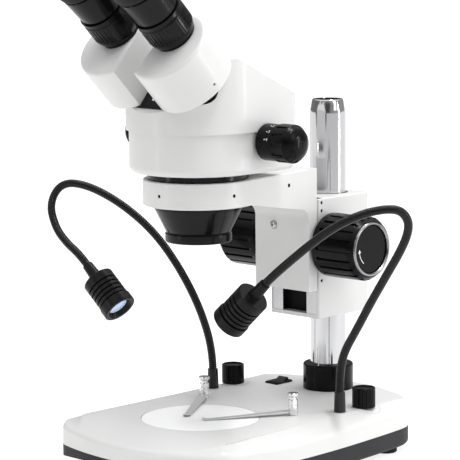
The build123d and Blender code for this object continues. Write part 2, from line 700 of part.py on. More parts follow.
def make_focus_slide():
    """Dovetail slide on the back of the bracket's plate, running between the guides."""
    fit = 0.06
    front, neck, back = PLATE_BACK_Y, GUIDE_Y[0], 124.6
    depth = GUIDE_Y[1] - GUIDE_Y[0]
    narrow = GUIDE_X - GUIDE_TAPER - fit
    wide = narrow + GUIDE_TAPER * (back - neck) / depth
    corners = [(-15.0, front), (15.0, front), (15.0, neck - 0.6), (narrow, neck - 0.6), (narrow, neck),
               (wide, back), (-wide, back), (-narrow, neck), (-narrow, neck - 0.6), (-15.0, neck - 0.6)]
    slide = extrude(Pos(0, 0, 142.5) * make_face(Polyline(*corners, close=True)), 76.0)
    slide -= block((-4.2, 4.2), (121.0, 130.0), (100, 300))
    slide -= rod_y(2.05, PLATE_BACK_Y - 1, 120.0, BRACKET_SCREW[0], BRACKET_SCREW[1])
    return slide


def make_focus_rack():
    """Rack in the slide's groove; a tooth points at the pinion's axis at rest."""
    y, z = FOCUS_AXIS
    pitch_y = y - PINION_R
    pitch = math.pi * MODULE
    tan20 = math.tan(math.radians(20))
    half = pitch / 4 - 0.06
    reach = 12
    tip = half - MODULE * tan20
    root = half + 1.25 * MODULE * tan20
    back = pitch_y - 1.25 * MODULE
    points = [(121.02, z - reach * pitch - 2)]
    points.append((back, z - reach * pitch - 2))
    for index in range(-reach, reach + 1):
        centre = z + index * pitch
        points += [(back, centre - root), (pitch_y + MODULE, centre - tip)]
        points += [(pitch_y + MODULE, centre + tip), (back, centre + root)]
    points += [(back, z + reach * pitch + 2), (121.02, z + reach * pitch + 2)]
    face = make_face(Polyline(*[(0, a, b) for a, b in points], close=True))
    return Pos(-4.15, 0, 0) * extrude(face, 8.3, dir=(1, 0, 0))


# ---- head --------------------------------------------------------------------------------
def head_plan(radius):
    """Plan of the head: half round at the front, straight sides, rounded back corners."""
    corner = 10.0
    face = Circle(radius) + Pos(0, HEAD_BACK_Y / 2) * Rectangle(2 * radius, HEAD_BACK_Y)
    back = [v for v in face.vertices() if v.Y > HEAD_BACK_Y - 1]
    return fillet(back, corner)


def make_objective_housing():
    """Black neck and cone below the head, threaded inside at the bottom."""
    outer = [
        (29.0, 253.4), (NECK_R, 253.4), (NECK_R, 225.0), (27.4, 203.4), (26.6, 202.8), (26.6, 202.2),
        (28.0, 201.8), (28.0, 196.0), (27.2, 194.7),
    ]
    inner = [
        (THREAD_R, 194.7), (THREAD_R, 202.7), (22.0, 202.7), (22.0, LENS_SEAT_Z), (23.5, LENS_SEAT_Z),
        (23.5, 214.0), (29.0, 222.0),
    ]
    return lathe(outer + inner)


def make_objective_lens():
    """Front lens of the objective, bulging downwards."""
    bulge = 3.5
    aperture = 21.8
    ball_r = (aperture**2 + bulge**2) / (2 * bulge)
    seat = LENS_SEAT_Z + 0.1
    dome = Pos(0, 0, seat - bulge + ball_r) * Sphere(ball_r) & rod(aperture, seat - bulge - 1, seat + 0.1)
    return rod(23.4, seat, seat + 5.8) + dome


def make_head_flange():
    """Black ring that rests on the bracket and carries the head."""
    ring = rod(FLANGE_R, RING_Z[1] + 0.3, HEAD_Z[0] - 0.05) - rod(NECK_R + 0.02, 0, 400)
    return chamfer(ring.faces().sort_by(Axis.Z)[0].outer_wire().edges(), 0.5)


def make_head_lower():
    """Lower housing of the head: a cup with holes for the neck and the zoom shaft."""
    low, high = HEAD_Z
    body = extrude(Pos(0, 0, low) * head_plan(HEAD_R), high - low - 0.1)
    body = fillet(body.faces().sort_by(Axis.Z)[0].edges(), 6.0)
    body -= extrude(Pos(0, 0, low + WALL) * offset(head_plan(HEAD_R), amount=-WALL), 60)
    body -= rod(29.0, 0, 400)
    y, z = ZOOM_AXIS
    body -= rod_x(4.1, -80, 80, y, z)
    body -= block((-80, 80), (y - 4.1, y + 4.1), (z, 300))
    return body


def upper_side_profile(inset=0.0):
    """Side view of the upper housing: 45 degree front for the eyepiece drums, sloping back."""
    face_y, face_z = DRUM_FACE
    step = DRUM_L * math.sqrt(0.5)
    sum_face = (face_z - step) - (face_y + step)        # z - y on the mounting plane
    ridge_y = -14.5 + 0.4 * inset
    back_z = 312.9 - 1.2 * inset
    back_y = HEAD_BACK_Y + 2.5 - inset
    front_y = -UPPER_R + inset
    rise = sum_face - inset * math.sqrt(2)
    low = HEAD_Z[1] - inset
    corners = [
        (front_y, low), (front_y, front_y + rise), (ridge_y, ridge_y + rise), (back_y, back_z),
        (back_y, low),
    ]
    return make_face(Polyline(*[(0, y, z) for y, z in corners], close=True))


def make_head_upper():
    """Upper housing of the head: shell under the eyepiece drums."""
    side = extrude(upper_side_profile(), 100, dir=(1, 0, 0), both=True)
    body = extrude(Pos(0, 0, HEAD_Z[1]) * head_plan(UPPER_R), 100) & side
    ridge = [edge for edge in body.edges().filter_by(Axis.X) if edge.center().Z > 330]
    body = fillet(ridge, 3.0)
    cavity = extrude(upper_side_profile(WALL), 100, dir=(1, 0, 0), both=True)
    body -= extrude(Pos(0, 0, HEAD_Z[1] - 1) * head_plan(UPPER_R - WALL), 100) & cavity
    for side_sign in (-1, 1):
        body -= drum_plane(side_sign).location * rod(22.5, -DRUM_L - 20, -DRUM_L + 5)
    return body


def drum_plane(sign):
    """Plane of a drum's front face; local X points outwards on the right drum."""
    return Plane(origin=(sign * DRUM_X, DRUM_FACE[0], DRUM_FACE[1]), x_dir=(1, 0, 0), z_dir=(0, -1, 1))


def make_drum_plate():
    """Black plate on the 45 degree face, under the drums."""
    plate = Pos(0, -3.0, -DRUM_L) * extrude(RectangleRounded(76, 58, 6), 0.9)
    plate = drum_plane(0).location * plate & extrude(head_plan(UPPER_R - 1.5), 400)
    for sign in (-1, 1):
        plate -= drum_plane(sign).location * rod(22.3, -DRUM_L - 5, -DRUM_L + 5)
    return plate


# ---- zoom drive --------------------------------------------------------------------------
def make_zoom_shaft():
    """Shaft across the head between the zoom knobs, with the cam drum in its middle."""
    y, z = ZOOM_AXIS
    shaft = rod_x(4.0, -ZOOM_SHAFT_END, ZOOM_SHAFT_END, y, z)
    cam = rod_x(6.0, -30, 30, y, z)
    groove = rod_x(6.5, -1.5, 1.5, y, z) - rod_x(5.0, -3, 3, y, z)
    return shaft + cam - groove


def make_zoom_knob():
    """Right zoom knob: plain collar for the scale, gripped end and a domed cap."""
    start, end = ZOOM_KNOB_START_X, ZOOM_KNOB_END_X
    grip_r = 15.9
    grip_start = start + 16.5
    grip_end = end - 8.0
    bore_end = ZOOM_SHAFT_END + 0.2
    profile = [
        (4.02, start), (14.6, start), (15.3, start + 0.8), (15.3, grip_start - 1.2),
        (15.0, grip_start - 0.8), (15.0, grip_start - 0.4), (grip_r, grip_start), (grip_r, grip_end),
        (15.5, grip_end + 0.7), (14.9, end - 6.6), (12.6, end - 3.4), (8.6, end - 1.2),
        (4.0, end - 0.15), (0, end), (0, bore_end), (4.02, bore_end),
    ]
    knob = lathe(profile)
    grips = 12
    for index in range(grips):
        slot = block((grip_r - 0.9, grip_r + 1.5), (-1.3, 1.3), (grip_start + 1.0, grip_end - 0.8))
        slot = fillet(slot.edges().filter_by(Axis.X), 0.9)
        knob -= Rot(0, 0, 360.0 * index / grips) * slot
    y, z = ZOOM_AXIS
    return Pos(0, y, z) * Rot(0, 90, 0) * knob


def make_zoom_carriage():
    """Carriage with one lens cell for each optical channel."""
    low = 264.5
    plate = block((-28, 28), (-16, 11.5), (low + 3.5, low + 6.5))
    for side in (-1, 1):
        plate += rod(10.0, low, low + 10, side * OPTIC_X, -3.0)
    for side in (-1, 1):
        plate -= rod(8.4, 200, 400, side * OPTIC_X, -3.0)
    return plate


# ---- eyepiece drums and eyepieces --------------------------------------------------------
def on_eye_axis(sign, shape):
    """Put a piece made around local Z onto the eyepiece axis; z = 0 is the drum's face."""
    location = drum_plane(sign).location * Pos(sign * EYE_OFFSET[0], EYE_OFFSET[1], 0)
    return location * shape


def make_drum():
    """Right drum: round housing with a flat towards the other drum, hollow for the prism."""
    gap = 1.0
    outer = rod(DRUM_R, -DRUM_L + gap, 0)
    cut = Box(60, 200, 100, align=(Align.MAX, Align.CENTER, Align.CENTER))
    cut = Pos(-DRUM_FLAT, 0, -20) * Rot(0, 0, -DRUM_FLAT_TILT) * cut
    outer -= cut
    outer = fillet(outer.faces().sort_by(Axis.Z)[-1].edges(), 3.0)
    inner = rod(DRUM_R - WALL, -DRUM_L, -WALL)
    inner -= Pos(WALL, 0, 0) * cut
    drum = outer - inner
    drum += rod(DRUM_R - 1.5, -DRUM_L + gap, -DRUM_L + gap + 3.5) - cut
    drum -= rod(19.5, -DRUM_L, -DRUM_L + gap + 5)
    drum -= Pos(EYE_OFFSET[0], EYE_OFFSET[1], 0) * rod(15.9, -10, 5)
    drum += rod(22.0, -DRUM_L - 2.6, -DRUM_L + gap + 1) - rod(19.5, -DRUM_L - 5, 0)
    drum -= along((0, 0, -35), (0.97, -0.24, 0)) * rod(1.2, 30, 40)
    return drum_plane(1).location * drum


def make_eyetube():
    """Right eyepiece tube: flange on the drum and the sleeve that the diopter ring turns on."""
    profile = [
        (15.1, -6), (15.85, -6), (15.85, 0), (EYETUBE_R, 0.02), (EYETUBE_R, 3.0), (16.9, 3.4),
        (16.9, 29.0), (15.1, 29.0),
    ]
    return on_eye_axis(1, lathe(profile))


def make_prism():
    """Right prism, seen as a block with a roof, held inside the drum."""
    block_shape = Pos(2, 2, -24) * Box(24, 26, 22)
    roof = Pos(2, 2 - 13, -13) * Rot(45, 0, 0) * Box(40, 14, 14)
    return drum_plane(1).location * (block_shape - roof)


def make_diopter_ring():
    """Right diopter ring, knurled, turning on the eyepiece tube."""
    profile = [
        (17.0, 3.6), (18.6, 3.6), (19.2, 4.6), (RING_KNURL_R, 8.5), (RING_KNURL_R, 24.0), (19.4, 25.6),
        (19.4, 27.0), (20.4, 27.8), (20.4, 29.6), (17.0, 29.6),
    ]
    ring = lathe(profile)
    ribs = 36
    for index in range(ribs):
        groove = Pos(RING_KNURL_R + 0.35, 0, 16.4) * Box(1.6, 1.5, 13.6)
        ring -= Rot(0, 0, 360.0 * index / ribs) * groove
    return on_eye_axis(1, ring)


def make_eyepiece():
    """Right eyepiece: sleeve in the eyepiece tube and a barrel that flares to the eye lens."""
    profile = [
        (12.6, 5), (15.05, 5), (15.05, 29.9), (18.6, 30.0), (19.0, 31.0), (21.0, 55.5), (19.0, 57.0),
        (19.0, 62.0), (14.0, 62.0), (14.0, 58.0), (12.6, 56.0),
    ]
    return on_eye_axis(1, lathe(profile))


def make_eye_lens():
    """Right eye lens, domed towards the eye."""
    bulge = 1.6
    radius = 12.55
    ball_r = (radius**2 + bulge**2) / (2 * bulge)
    dome = Pos(0, 0, 55.9 + bulge - ball_r) * Sphere(ball_r) & rod(radius, 55.8, 60)
    return on_eye_axis(1, rod(radius, 51.0, 55.9) + dome)


def make_eyecup():
    """Right rubber eyecup."""
    profile = [
        (19.05, 57.2), (21.2, 57.2), (22.2, 60.0), (22.6, 68.5), (21.8, 69.4), (20.6, 69.0), (19.05, 62.5),
    ]
    return on_eye_axis(1, lathe(profile))


# ---- write everything --------------------------------------------------------------------
def save_pair(name, right_piece):
    """A piece and its mirror image, as two nodes."""
    save(name + "_right", right_piece)
    save(name + "_left", mirrored(right_piece))


def main():
    save("base_cover", make_base_cover())
    save("base_tray", make_base_tray())
    save("feet", make_feet())
    save("base_screws", make_base_screws())
    save("column", make_column())
    save("column_collar", make_column_collar())
    save("control_board", make_control_board())
    save("power_switch", make_power_switch())
    save("switch_rocker", make_switch_rocker())
    save("power_inlet", make_power_inlet())
    save("stage_plate", make_stage_plate())
    save_pair("clip_post", make_clip_post())
    save_pair("clip_blade", make_clip_blade())
    save_pair("dimmer_knob", make_dimmer_knob())
    for side in ("left", "right"):
        save("gooseneck_ferrule_" + side, make_ferrule(side))
        save("gooseneck_" + side, make_gooseneck(side))
        save("lamp_housing_" + side, make_lamp_housing(side))
        save("lamp_lens_" + side, make_lamp_lens(side))
    save("column_bush", make_column_bush())
    save("focus_block", make_focus_block())
    save("guide_rails", make_guide_rails())
    save("clamp_knob", make_clamp_knob())
    save("pinion_shaft", make_pinion_shaft())
    save_pair("focus_knob", make_focus_knob())
    save("head_bracket", make_head_bracket())
    save("bracket_screws", make_bracket_screws())
    save("focus_slide", make_focus_slide())
    save("focus_rack", make_focus_rack())
    save("objective_housing", make_objective_housing())
    save("objective_lens", make_objective_lens())
    save("head_flange", make_head_flange())
    save("head_lower", make_head_lower())
    save("head_upper", make_head_upper())
    save("drum_plate", make_drum_plate())
    save("zoom_shaft", make_zoom_shaft())
    save_pair("zoom_knob", make_zoom_knob())
    save("zoom_carriage", make_zoom_carriage())
    save_pair("drum", make_drum())
    save_pair("eyetube", make_eyetube())
    save_pair("prism", make_prism())
    save_pair("diopter_ring", make_diopter_ring())
    save_pair("eyepiece", make_eyepiece())
    save_pair("eye_lens", make_eye_lens())
    save_pair("eyecup", make_eyecup())


main()
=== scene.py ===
import math

import bpy
from mathutils import Matrix, Vector
from mathutils.bvhtree import BVHTree


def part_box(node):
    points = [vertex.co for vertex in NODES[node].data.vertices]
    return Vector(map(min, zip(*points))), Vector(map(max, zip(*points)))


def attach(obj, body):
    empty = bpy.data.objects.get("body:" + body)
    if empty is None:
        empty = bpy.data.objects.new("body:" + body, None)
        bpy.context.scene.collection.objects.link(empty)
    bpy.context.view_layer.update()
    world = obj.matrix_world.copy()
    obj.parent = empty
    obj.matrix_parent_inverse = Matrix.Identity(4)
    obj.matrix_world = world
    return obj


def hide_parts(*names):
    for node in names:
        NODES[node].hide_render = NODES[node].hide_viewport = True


# Stereo zoom microscope on a column stand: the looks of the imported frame.
# Metres, +Z up, -Y towards the user, origin on the bench under the stage plate.
# Values marked mm are turned into metres with MM where they are used.

MM = 0.001

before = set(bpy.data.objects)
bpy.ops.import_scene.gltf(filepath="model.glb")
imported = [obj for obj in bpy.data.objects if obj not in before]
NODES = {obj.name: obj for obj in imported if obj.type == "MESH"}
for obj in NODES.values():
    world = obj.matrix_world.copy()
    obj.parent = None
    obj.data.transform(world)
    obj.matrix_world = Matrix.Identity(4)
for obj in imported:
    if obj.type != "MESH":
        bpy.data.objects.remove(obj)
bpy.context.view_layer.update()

# ---- places on the CAD parts, mm -----------------------------------------------------------
FOCUS_AXIS = (130.6, 179.9)         # y, z of the focus shaft
FOCUS_CAP_X = 77.3                  # face of a focus knob's cap
FOCUS_RIM_R = (20.9, 23.5)          # ring around the cap painted grey metal as a highlight, inner and outer radius
FOCUS_RIM_DEPTH = 1.3
CHANNEL_BACK_Y = (127.0, 128.0)     # back wall of the focusing block's channel, painted black as shade
CHANNEL_HALF_X = 25.0
GUIDE_SCREW_X = 25.95               # the guides' set screws are outside this
RING_SCREW_Y = 60.0                 # the ring's lock screws are in front of this
ARM_HOLE = (73.5, 236.8)            # y, z of the hole in the bracket arm's side, painted black as shade
ARM_HOLE_R = 1.75
DIMMER_AXIS = (77.0, 122.0)         # x, y of the right dimmer knob
ZOOM_AXIS = (20.0, 280.0)           # y, z of the zoom shaft
ZOOM_COLLAR_R = 15.3
DRUM_FACE = Vector((0, -64.0, 362.1))
DRUM_L = 43.1
EYE_WAY = Vector((0, -1, 1)).normalized()
EYE_UP = Vector((0, 1, 1)).normalized()


# ---- camera --------------------------------------------------------------------------------
CAMERA_AT = (1.379536, -1.419657, 0.490013)
CAMERA_RIGHT = (0.727120, 0.686467, -0.007959)
CAMERA_UP = (-0.092664, 0.109603, 0.989646)
CAMERA_LENS = 187.69


def add_camera():
    data = bpy.data.cameras.new("camera")
    data.lens = CAMERA_LENS
    data.sensor_width = 36.0
    data.clip_start = 0.05
    data.clip_end = 60.0
    camera = bpy.data.objects.new("camera", data)
    bpy.context.scene.collection.objects.link(camera)
    right = Vector(CAMERA_RIGHT).normalized()
    up = Vector(CAMERA_UP).normalized()
    back = right.cross(up)
    camera.matrix_world = Matrix((
        (right.x, up.x, back.x, CAMERA_AT[0]),
        (right.y, up.y, back.y, CAMERA_AT[1]),
        (right.z, up.z, back.z, CAMERA_AT[2]),
        (0, 0, 0, 1),
    ))
    bpy.context.scene.camera = camera


# ---- materials -----------------------------------------------------------------------------
def new_material(name):
    material = bpy.data.materials.new(name)
    material.use_nodes = True
    tree = material.node_tree
    return material, tree.nodes, tree.links, tree.nodes["Principled BSDF"]


def add_noise(nodes, links, scale, detail=3.0, stretch=(1, 1, 1)):
    """Noise in object space; returns its factor output."""
    place = nodes.new("ShaderNodeTexCoord")
    mapping = nodes.new("ShaderNodeMapping")
    mapping.inputs["Scale"].default_value = stretch
    noise = nodes.new("ShaderNodeTexNoise")
    noise.inputs["Scale"].default_value = scale
    noise.inputs["Detail"].default_value = detail
    links.new(place.outputs["Object"], mapping.inputs["Vector"])
    links.new(mapping.outputs["Vector"], noise.inputs["Vector"])
    return noise.outputs["Fac"]


def add_ramp(nodes, links, source, low, high):
    """Colour ramp between two colours; returns its colour output."""
    ramp = nodes.new("ShaderNodeValToRGB")
    ramp.color_ramp.elements[0].position = 0.3
    ramp.color_ramp.elements[0].color = (*low, 1)
    ramp.color_ramp.elements[1].position = 0.7
    ramp.color_ramp.elements[1].color = (*high, 1)
    links.new(source, ramp.inputs["Fac"])
    return ramp.outputs["Color"]


def add_range(nodes, links, source, low, high):
    """Maps a factor of 0 to 1 onto low to high; returns the value output."""
    span = nodes.new("ShaderNodeMapRange")
    span.inputs["To Min"].default_value = low
    span.inputs["To Max"].default_value = high
    links.new(source, span.inputs["Value"])
    return span.outputs["Result"]


def add_wear_and_highlight_edges(nodes, links, base, wear_and_highlight_colour):
    """Mixes a lighter colour into the base on sharp convex edges, partly wear and partly painted highlight;
    returns the colour output.
    """
    geometry = nodes.new("ShaderNodeNewGeometry")
    mask = nodes.new("ShaderNodeMapRange")
    mask.inputs["From Min"].default_value = 0.53
    mask.inputs["From Max"].default_value = 0.62
    mask.inputs["To Max"].default_value = 0.5
    links.new(geometry.outputs["Pointiness"], mask.inputs["Value"])
    mix = nodes.new("ShaderNodeMix")
    mix.data_type = "RGBA"
    links.new(mask.outputs["Result"], mix.inputs["Factor"])
    links.new(base, mix.inputs["A"])
    mix.inputs["B"].default_value = (*wear_and_highlight_colour, 1)
    return mix.outputs["Result"]


def finish_surface(name, color, roughness, tint=0.06, blotch=22.0, grain=1500.0, relief=0.03,
                   rough_spread=0.05, metallic=0.0, coat=0.0, edge=0.0, stretch=(1, 1, 1), specular=0.5):
    """Paint, plastic or metal: slow tint changes, fine grain in roughness and relief, edges lightened
    partly as wear and partly as painted highlight.
    """
    material, nodes, links, shader = new_material(name)
    shader.inputs["Metallic"].default_value = metallic
    shader.inputs["Specular IOR Level"].default_value = specular
    shader.inputs["Coat Weight"].default_value = coat
    shader.inputs["Coat Roughness"].default_value = 0.12
    slow = add_noise(nodes, links, blotch, 4.0)
    dark = tuple(value * (1 - tint) for value in color)
    light = tuple(min(value * (1 + tint * 0.6), 1) for value in color)
    base = add_ramp(nodes, links, slow, dark, light)
    # lighter convex edges: partly wear, partly painted highlight
    if edge:
        base = add_wear_and_highlight_edges(nodes, links, base, [min(value + edge, 1) for value in color])
    links.new(base, shader.inputs["Base Color"])
    fine = add_noise(nodes, links, grain, 2.0, stretch)
    links.new(add_range(nodes, links, fine, roughness - rough_spread, roughness + rough_spread),
              shader.inputs["Roughness"])
    bump = nodes.new("ShaderNodeBump")
    bump.inputs["Strength"].default_value = relief
    bump.inputs["Distance"].default_value = 0.0004
    links.new(fine, bump.inputs["Height"])
    links.new(bump.outputs["Normal"], shader.inputs["Normal"])
    return material


def glass_surface(name, color, roughness, coating, transmission=1.0, glow=0.0):
    """Lens glass with a faint coloured coating that varies over the surface."""
    material, nodes, links, shader = new_material(name)
    slow = add_noise(nodes, links, 60.0)
    links.new(add_ramp(nodes, links, slow, color, tuple(value * 0.93 for value in color)),
              shader.inputs["Base Color"])
    shader.inputs["Transmission Weight"].default_value = transmission
    shader.inputs["IOR"].default_value = 1.52
    fine = add_noise(nodes, links, 700.0)
    links.new(add_range(nodes, links, fine, roughness, roughness * 1.4 + 0.01), shader.inputs["Roughness"])
    shader.inputs["Coat Weight"].default_value = 0.6
    shader.inputs["Coat Roughness"].default_value = 0.03
    shader.inputs["Coat Tint"].default_value = (*coating, 1)
    if glow:
        shader.inputs["Emission Color"].default_value = (0.78, 0.88, 1.0, 1)
        shader.inputs["Emission Strength"].default_value = glow
    return material


MATERIALS = {
    "white_paint": finish_surface("white_paint", (0.72, 0.718, 0.712), 0.40, tint=0.018, blotch=9.0,
                                  grain=2200.0, relief=0.03, coat=0.08),
    "stage_white": finish_surface("stage_white", (0.95, 0.95, 0.95), 0.45, tint=0.010, grain=900.0,
                                  relief=0.0),
    # black put into the focusing block's channel and the arm hole as painted shade
    "shade_black": finish_surface("shade_black", (0.006, 0.006, 0.006), 0.6, tint=0.2, specular=0.1),
    "tray_plastic": finish_surface("tray_plastic", (0.020, 0.020, 0.022), 0.55, tint=0.15, grain=1300.0,
                                   relief=0.2, edge=0.02, specular=0.25),
    "black_plastic": finish_surface("black_plastic", (0.0035, 0.0035, 0.004), 0.20, tint=0.2,
                                    grain=1600.0, relief=0.05, edge=0.008, specular=0.12),
    # grey metal on the focus knobs' black rims, a painted highlight
    "rim_highlight_metal": finish_surface("rim_highlight_metal", (0.30, 0.30, 0.31), 0.22, tint=0.05, grain=900.0,
                               relief=0.02, metallic=1.0),
    "black_gloss": finish_surface("black_gloss", (0.005, 0.005, 0.0055), 0.12, tint=0.2, grain=500.0,
                                  relief=0.02, coat=0.1, specular=0.3),
    "black_metal": finish_surface("black_metal", (0.005, 0.005, 0.0055), 0.18, tint=0.2, grain=1800.0,
                                  relief=0.04, edge=0.010, specular=0.18),
    "lamp_black": finish_surface("lamp_black", (0.006, 0.006, 0.0065), 0.30, tint=0.2, grain=2000.0,
                                 relief=0.10, edge=0.008, specular=0.16),
    "arm_black": finish_surface("arm_black", (0.004, 0.004, 0.0045), 0.16, tint=0.2, grain=900.0,
                                relief=0.02, edge=0.012, specular=0.24),
    "cup_rubber": finish_surface("cup_rubber", (0.010, 0.010, 0.011), 0.60, tint=0.2, grain=1100.0,
                                 relief=0.2, specular=0.2),
    "foot_rubber": finish_surface("foot_rubber", (0.012, 0.012, 0.012), 0.75, tint=0.2, grain=800.0,
                                  relief=0.35, specular=0.2),
    "column_chrome": finish_surface("column_chrome", (0.58, 0.58, 0.59), 0.13, tint=0.02, grain=500.0,
                                    relief=0.02, rough_spread=0.03, metallic=1.0, stretch=(1, 1, 0.02)),
    "chrome": finish_surface("chrome", (0.80, 0.80, 0.81), 0.12, tint=0.02, grain=700.0, relief=0.01,
                             rough_spread=0.03, metallic=1.0),
    "blade_steel": finish_surface("blade_steel", (0.62, 0.62, 0.62), 0.42, tint=0.04, grain=900.0,
                                  relief=0.02, metallic=0.6),
    "steel": finish_surface("steel", (0.50, 0.50, 0.51), 0.28, tint=0.06, grain=900.0, relief=0.05,
                            metallic=1.0, stretch=(1, 1, 0.1)),
    "brass": finish_surface("brass", (0.75, 0.55, 0.22), 0.25, tint=0.08, grain=800.0, relief=0.05,
                            metallic=1.0),
    "board": finish_surface("board", (0.012, 0.10, 0.035), 0.4, tint=0.2, grain=600.0, relief=0.1),
    "print_white": finish_surface("print_white", (0.82, 0.82, 0.82), 0.5, tint=0.03),
    "print_grey": finish_surface("print_grey", (0.48, 0.48, 0.49), 0.5, tint=0.03),
    "lens_glass": glass_surface("lens_glass", (0.80, 0.86, 0.95), 0.01, (0.70, 0.78, 1.0)),
    "lamp_glass": glass_surface("lamp_glass", (0.70, 0.80, 0.95), 0.22, (0.85, 0.92, 1.0),
                                transmission=0.55, glow=0.22),
    "prism_glass": glass_surface("prism_glass", (0.85, 0.90, 0.92), 0.02, (0.9, 0.95, 1.0)),
}

NODE_MATERIALS = {
    "white_paint": ["base_cover", "focus_block", "head_bracket", "head_lower", "head_upper",
                    "drum_left", "drum_right"],
    "stage_white": ["stage_plate"],
    "tray_plastic": ["base_tray"],
    "foot_rubber": ["feet"],
    "steel": ["base_screws", "guide_rails", "bracket_screws", "pinion_shaft", "zoom_shaft"],
    "column_chrome": ["column"],
    "chrome": ["clip_post_left", "clip_post_right"],
    "blade_steel": ["clip_blade_left", "clip_blade_right"],
    "black_plastic": ["column_collar", "power_switch", "switch_rocker", "power_inlet", "clamp_knob",
                      "dimmer_knob_left", "dimmer_knob_right", "focus_knob_left", "focus_knob_right",
                      "zoom_knob_left", "zoom_knob_right", "column_bush"],
    "board": ["control_board"],
    "black_gloss": ["gooseneck_ferrule_left", "gooseneck_ferrule_right"],
    "lamp_black": ["lamp_housing_left", "lamp_housing_right"],
    "black_metal": ["head_flange", "objective_housing", "drum_plate", "eyetube_left", "eyetube_right",
                    "diopter_ring_left", "diopter_ring_right", "eyepiece_left", "eyepiece_right",
                    "focus_slide", "zoom_carriage"],
    "brass": ["focus_rack"],
    "lens_glass": ["objective_lens", "eye_lens_left", "eye_lens_right"],
    "lamp_glass": ["lamp_lens_left", "lamp_lens_right"],
    "prism_glass": ["prism_left", "prism_right"],
    "cup_rubber": ["eyecup_left", "eyecup_right"],
}


EDGE_ROUNDING = 0.25 * MM
WELD_GAP = 0.002 * MM


def dress_node(name, material):
    """Material, smooth shading and small rounded edges on a CAD node; its own vertices stay."""
    thing = NODES[name]
    thing.data.materials.clear()
    thing.data.materials.append(MATERIALS[material])
    for polygon in thing.data.polygons:
        polygon.material_index = 0
        polygon.use_smooth = True
    weld = thing.modifiers.new("weld", "WELD")
    weld.merge_threshold = WELD_GAP
    bevel = thing.modifiers.new("edges", "BEVEL")
    bevel.width = EDGE_ROUNDING
    bevel.segments = 2
    bevel.limit_method = "ANGLE"
    bevel.angle_limit = math.radians(32)
    bevel.harden_normals = True
    normals = thing.modifiers.new("normals", "WEIGHTED_NORMAL")
    normals.keep_sharp = True


def paint_faces(name, material, inside):
    """Second material on the faces of a CAD node whose centre, in millimetres, is inside a region."""
    data = NODES[name].data
    data.materials.append(MATERIALS[material])
    for polygon in data.polygons:
        if inside(polygon.center / MM):
            polygon.material_index = len(data.materials) - 1


def dress_nodes():
    for material, names in NODE_MATERIALS.items():
        for name in names:
            dress_node(name, material)


def paint_details():
    """Grey metal rings on the focus knobs as painted highlight; black in the channel and the arm hole as
    painted shade; black set screws and lock screws.
    """
    rim_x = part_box("focus_knob_right")[1][0] / MM - FOCUS_RIM_DEPTH
    rim_inner, rim_outer = FOCUS_RIM_R
    channel_front, channel_back = CHANNEL_BACK_Y

    def reach(centre, axis):
        return math.hypot(centre.y - axis[0], centre.z - axis[1])

    def on_highlight_rim(centre):
        return abs(centre.x) > rim_x and rim_inner < reach(centre, FOCUS_AXIS) < rim_outer

    def in_shaded_channel(centre):
        return abs(centre.x) < CHANNEL_HALF_X and channel_front < centre.y < channel_back

    # the rims of the caps get grey metal as a painted highlight
    for side in ("left", "right"):
        paint_faces("focus_knob_" + side, "rim_highlight_metal", on_highlight_rim)
    # the channel's back wall gets black as painted shade
    paint_faces("focus_block", "shade_black", in_shaded_channel)
    paint_faces("guide_rails", "black_plastic", lambda centre: abs(centre.x) > GUIDE_SCREW_X)
    paint_faces("bracket_screws", "black_plastic", lambda centre: centre.y < RING_SCREW_Y)
    # the arm hole's wall gets black as painted shade
    paint_faces("head_bracket", "shade_black", lambda centre: reach(centre, ARM_HOLE) < ARM_HOLE_R)


# ---- mesh helpers --------------------------------------------------------------------------
def add_mesh(name, points, faces, material, body, smooth=False):
    """New piece from points in metres, riding on a body."""
    mesh = bpy.data.meshes.new(name)
    mesh.from_pydata([tuple(point) for point in points], [], faces)
    mesh.validate()
    mesh.update()
    for polygon in mesh.polygons:
        polygon.use_smooth = smooth
    mesh.materials.append(MATERIALS[material])
    thing = bpy.data.objects.new(name, mesh)
    bpy.context.scene.collection.objects.link(thing)
    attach(thing, body)
    return thing


def spokes(across, other, count):
    """Unit vectors around a circle whose plane is given by two directions at right angles."""
    angles = [2 * math.pi * step / count for step in range(count)]
    return [across * math.cos(angle) + other * math.sin(angle) for angle in angles]


def ring_faces(rings, around):
    """Quads between successive rings of points, with one face closing each end."""
    faces = []
    for ring in range(rings - 1):
        for step in range(around):
            here = ring * around + step
            beside = ring * around + (step + 1) % around
            faces.append((here, beside, beside + around, here + around))
    faces.append(tuple(reversed(range(around))))
    faces.append(tuple((rings - 1) * around + step for step in range(around)))
    return faces


def ribbon(points, across, width, lift, thickness):
    """Closed flat strip along points; across and lift are unit vectors at each point."""
    made = []
    for point, side, up in zip(points, across, lift):
        for reach, height in ((-1, 0), (1, 0), (1, 1), (-1, 1)):
            made.append(point + side * (reach * width / 2) + up * (height * thickness))
    return made, ring_faces(len(points), 4)


# ---- goosenecks ----------------------------------------------------------------------------
# Routes of the flexible arms, from the ferrule to the lamp's neck, in millimetres.
ARM_ROUTE = {
    "left": [(-74.6, 93.3, 58.5), (-74.6, 93.3, 78.0), (-74.6, 79.0, 116.0), (-84.0, 64.0, 153.0),
             (-104.0, 52.0, 186.0), (-134.0, 40.5, 210.5), (-166.0, 29.5, 225.5),
             (-191.0, 21.5, 226.5), (-201.0, 15.5, 207.0), (-186.0, 9.0, 187.0),
             (-165.0, 3.0, 176.0)],
    "right": [(74.6, 93.3, 58.5), (74.6, 93.3, 77.0), (85.5, 86.0, 98.0), (107.0, 77.5, 121.5),
              (130.5, 68.0, 148.5), (154.0, 61.5, 176.5), (170.5, 56.0, 195.0), (182.0, 52.0, 211.0),
              (188.5, 45.5, 223.5), (188.0, 36.0, 233.0), (181.0, 26.0, 234.5), (166.0, 15.0, 230.5),
              (142.0, 1.5, 217.0)],
}
